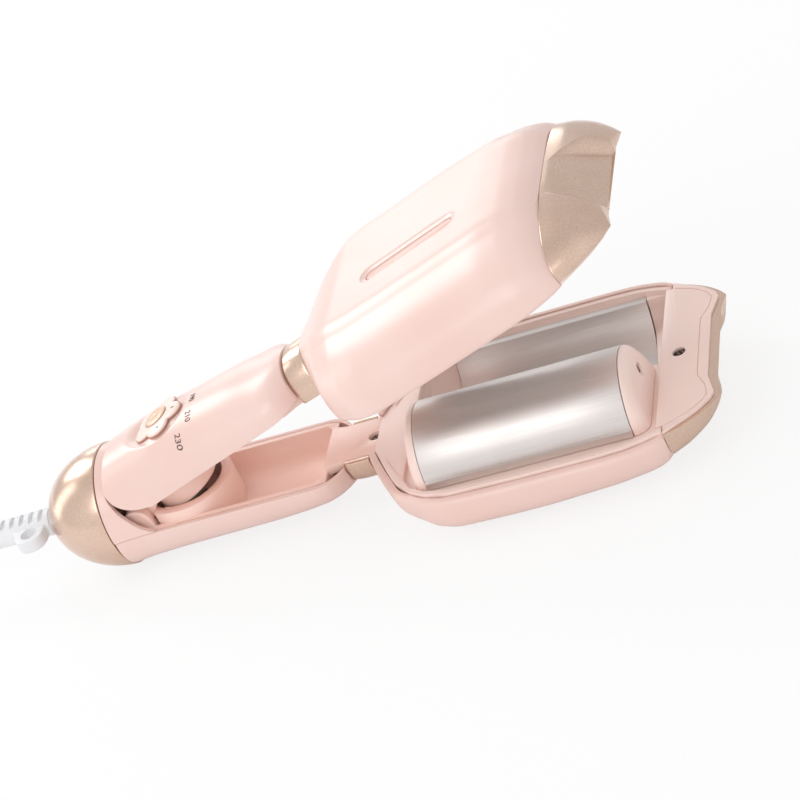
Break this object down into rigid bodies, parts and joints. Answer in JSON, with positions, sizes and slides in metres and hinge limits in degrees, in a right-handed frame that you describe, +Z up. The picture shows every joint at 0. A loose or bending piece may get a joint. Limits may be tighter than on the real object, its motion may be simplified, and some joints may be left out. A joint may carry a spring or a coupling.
{
  "type": "electric hair curler",
  "caption": "Tong-shaped electric hair curler: hinged arms with paired round barrels and grooves, heat dial, gold dome and swivel cord.",
  "frame": {"origin": "Centre of the box of the iron without its free cord, at the level of the flat back of the lower head it rests on.", "axes": "+X runs along the lower arm from the cord end to the gold tips, +Y is the side of the lower arm's groove, +Z is up, and the upper arm opens upwards."},
  "size_m": [0.4939, 0.1408, 0.107],
  "materials": {
    "shell": "pale peach-pink, satin gloss",
    "inner": "salmon, satin",
    "gold_trim": "metallised champagne gold",
    "hot_plate": "titanium-brown coating, satin",
    "heater": "mill finish",
    "steel": "zinc or nickel plated",
    "dark": "matte black",
    "board": "green solder mask",
    "cord": "off-white, satin"
  },
  "bodies": {
    "base": {"lower_handle_shell": "shell", "lower_handle_liner": "inner", "lower_head_shell": "shell", "lower_neck_ring": "gold_trim", "lower_tip_cap": "gold_trim", "lower_head_frame": "shell", "lower_barrel": "hot_plate", "lower_groove_plate": "hot_plate", "lower_barrel_cap_front": "shell", "lower_barrel_cap_rear": "shell", "lower_cap_screw": "steel", "lower_barrel_heater": "heater", "lower_barrel_clip": "steel", "lower_groove_heater": "heater", "lower_groove_clip": "steel", "lower_neck_screw": "steel", "lower_tip_screw": "steel", "thermal_fuse": "steel", "rear_collar": "shell", "rear_dome": "gold_trim", "hinge_pin": "steel", "return_spring": "steel", "power_cord": "cord", "cord_coil": "cord", "cord_tie": "dark", "plug_cord": "cord", "plug_body": "cord", "plug_pin_near": "steel", "plug_pin_far": "steel"},
    "upper_arm": {"upper_handle_shell": "shell", "upper_handle_liner": "inner", "upper_head_shell": "shell", "upper_neck_ring": "gold_trim", "upper_tip_cap": "gold_trim", "upper_head_frame": "shell", "upper_barrel": "hot_plate", "upper_groove_plate": "hot_plate", "upper_barrel_cap_front": "shell", "upper_barrel_cap_rear": "shell", "upper_cap_screw": "steel", "upper_barrel_heater": "heater", "upper_barrel_clip": "steel", "upper_groove_heater": "heater", "upper_groove_clip": "steel", "upper_neck_screw": "steel", "upper_tip_screw": "steel", "spring_sleeve": "inner", "control_board": "board", "rotary_switch": "dark"},
    "dial": {"dial_knob": "shell", "dial_disc": "gold_trim"},
    "swivel": {"swivel_strain_relief": "cord"}
  },
  "joints": [
    {"name": "jaw_hinge", "type": "hinge", "parent": "base", "child": "upper_arm", "pos_m": [-0.06796, 0, 0.024], "axis": [0, 1, 0], "range_deg": [0, 18.2], "stiffness_Nm_per_rad": 2, "springref_deg": -20.05, "deforming": ["return_spring"]},
    {"name": "dial_turn", "type": "hinge", "parent": "upper_arm", "child": "dial", "pos_m": [-0.04868, 0, 0.05469], "axis": [-0.3168, 0, 0.9485], "range_deg": [-40, 110]},
    {"name": "cord_swivel", "type": "hinge", "parent": "base", "child": "swivel", "pos_m": [-0.107, 0, 0.024], "axis": [1, 0, 0], "continuous": true}
  ]
}
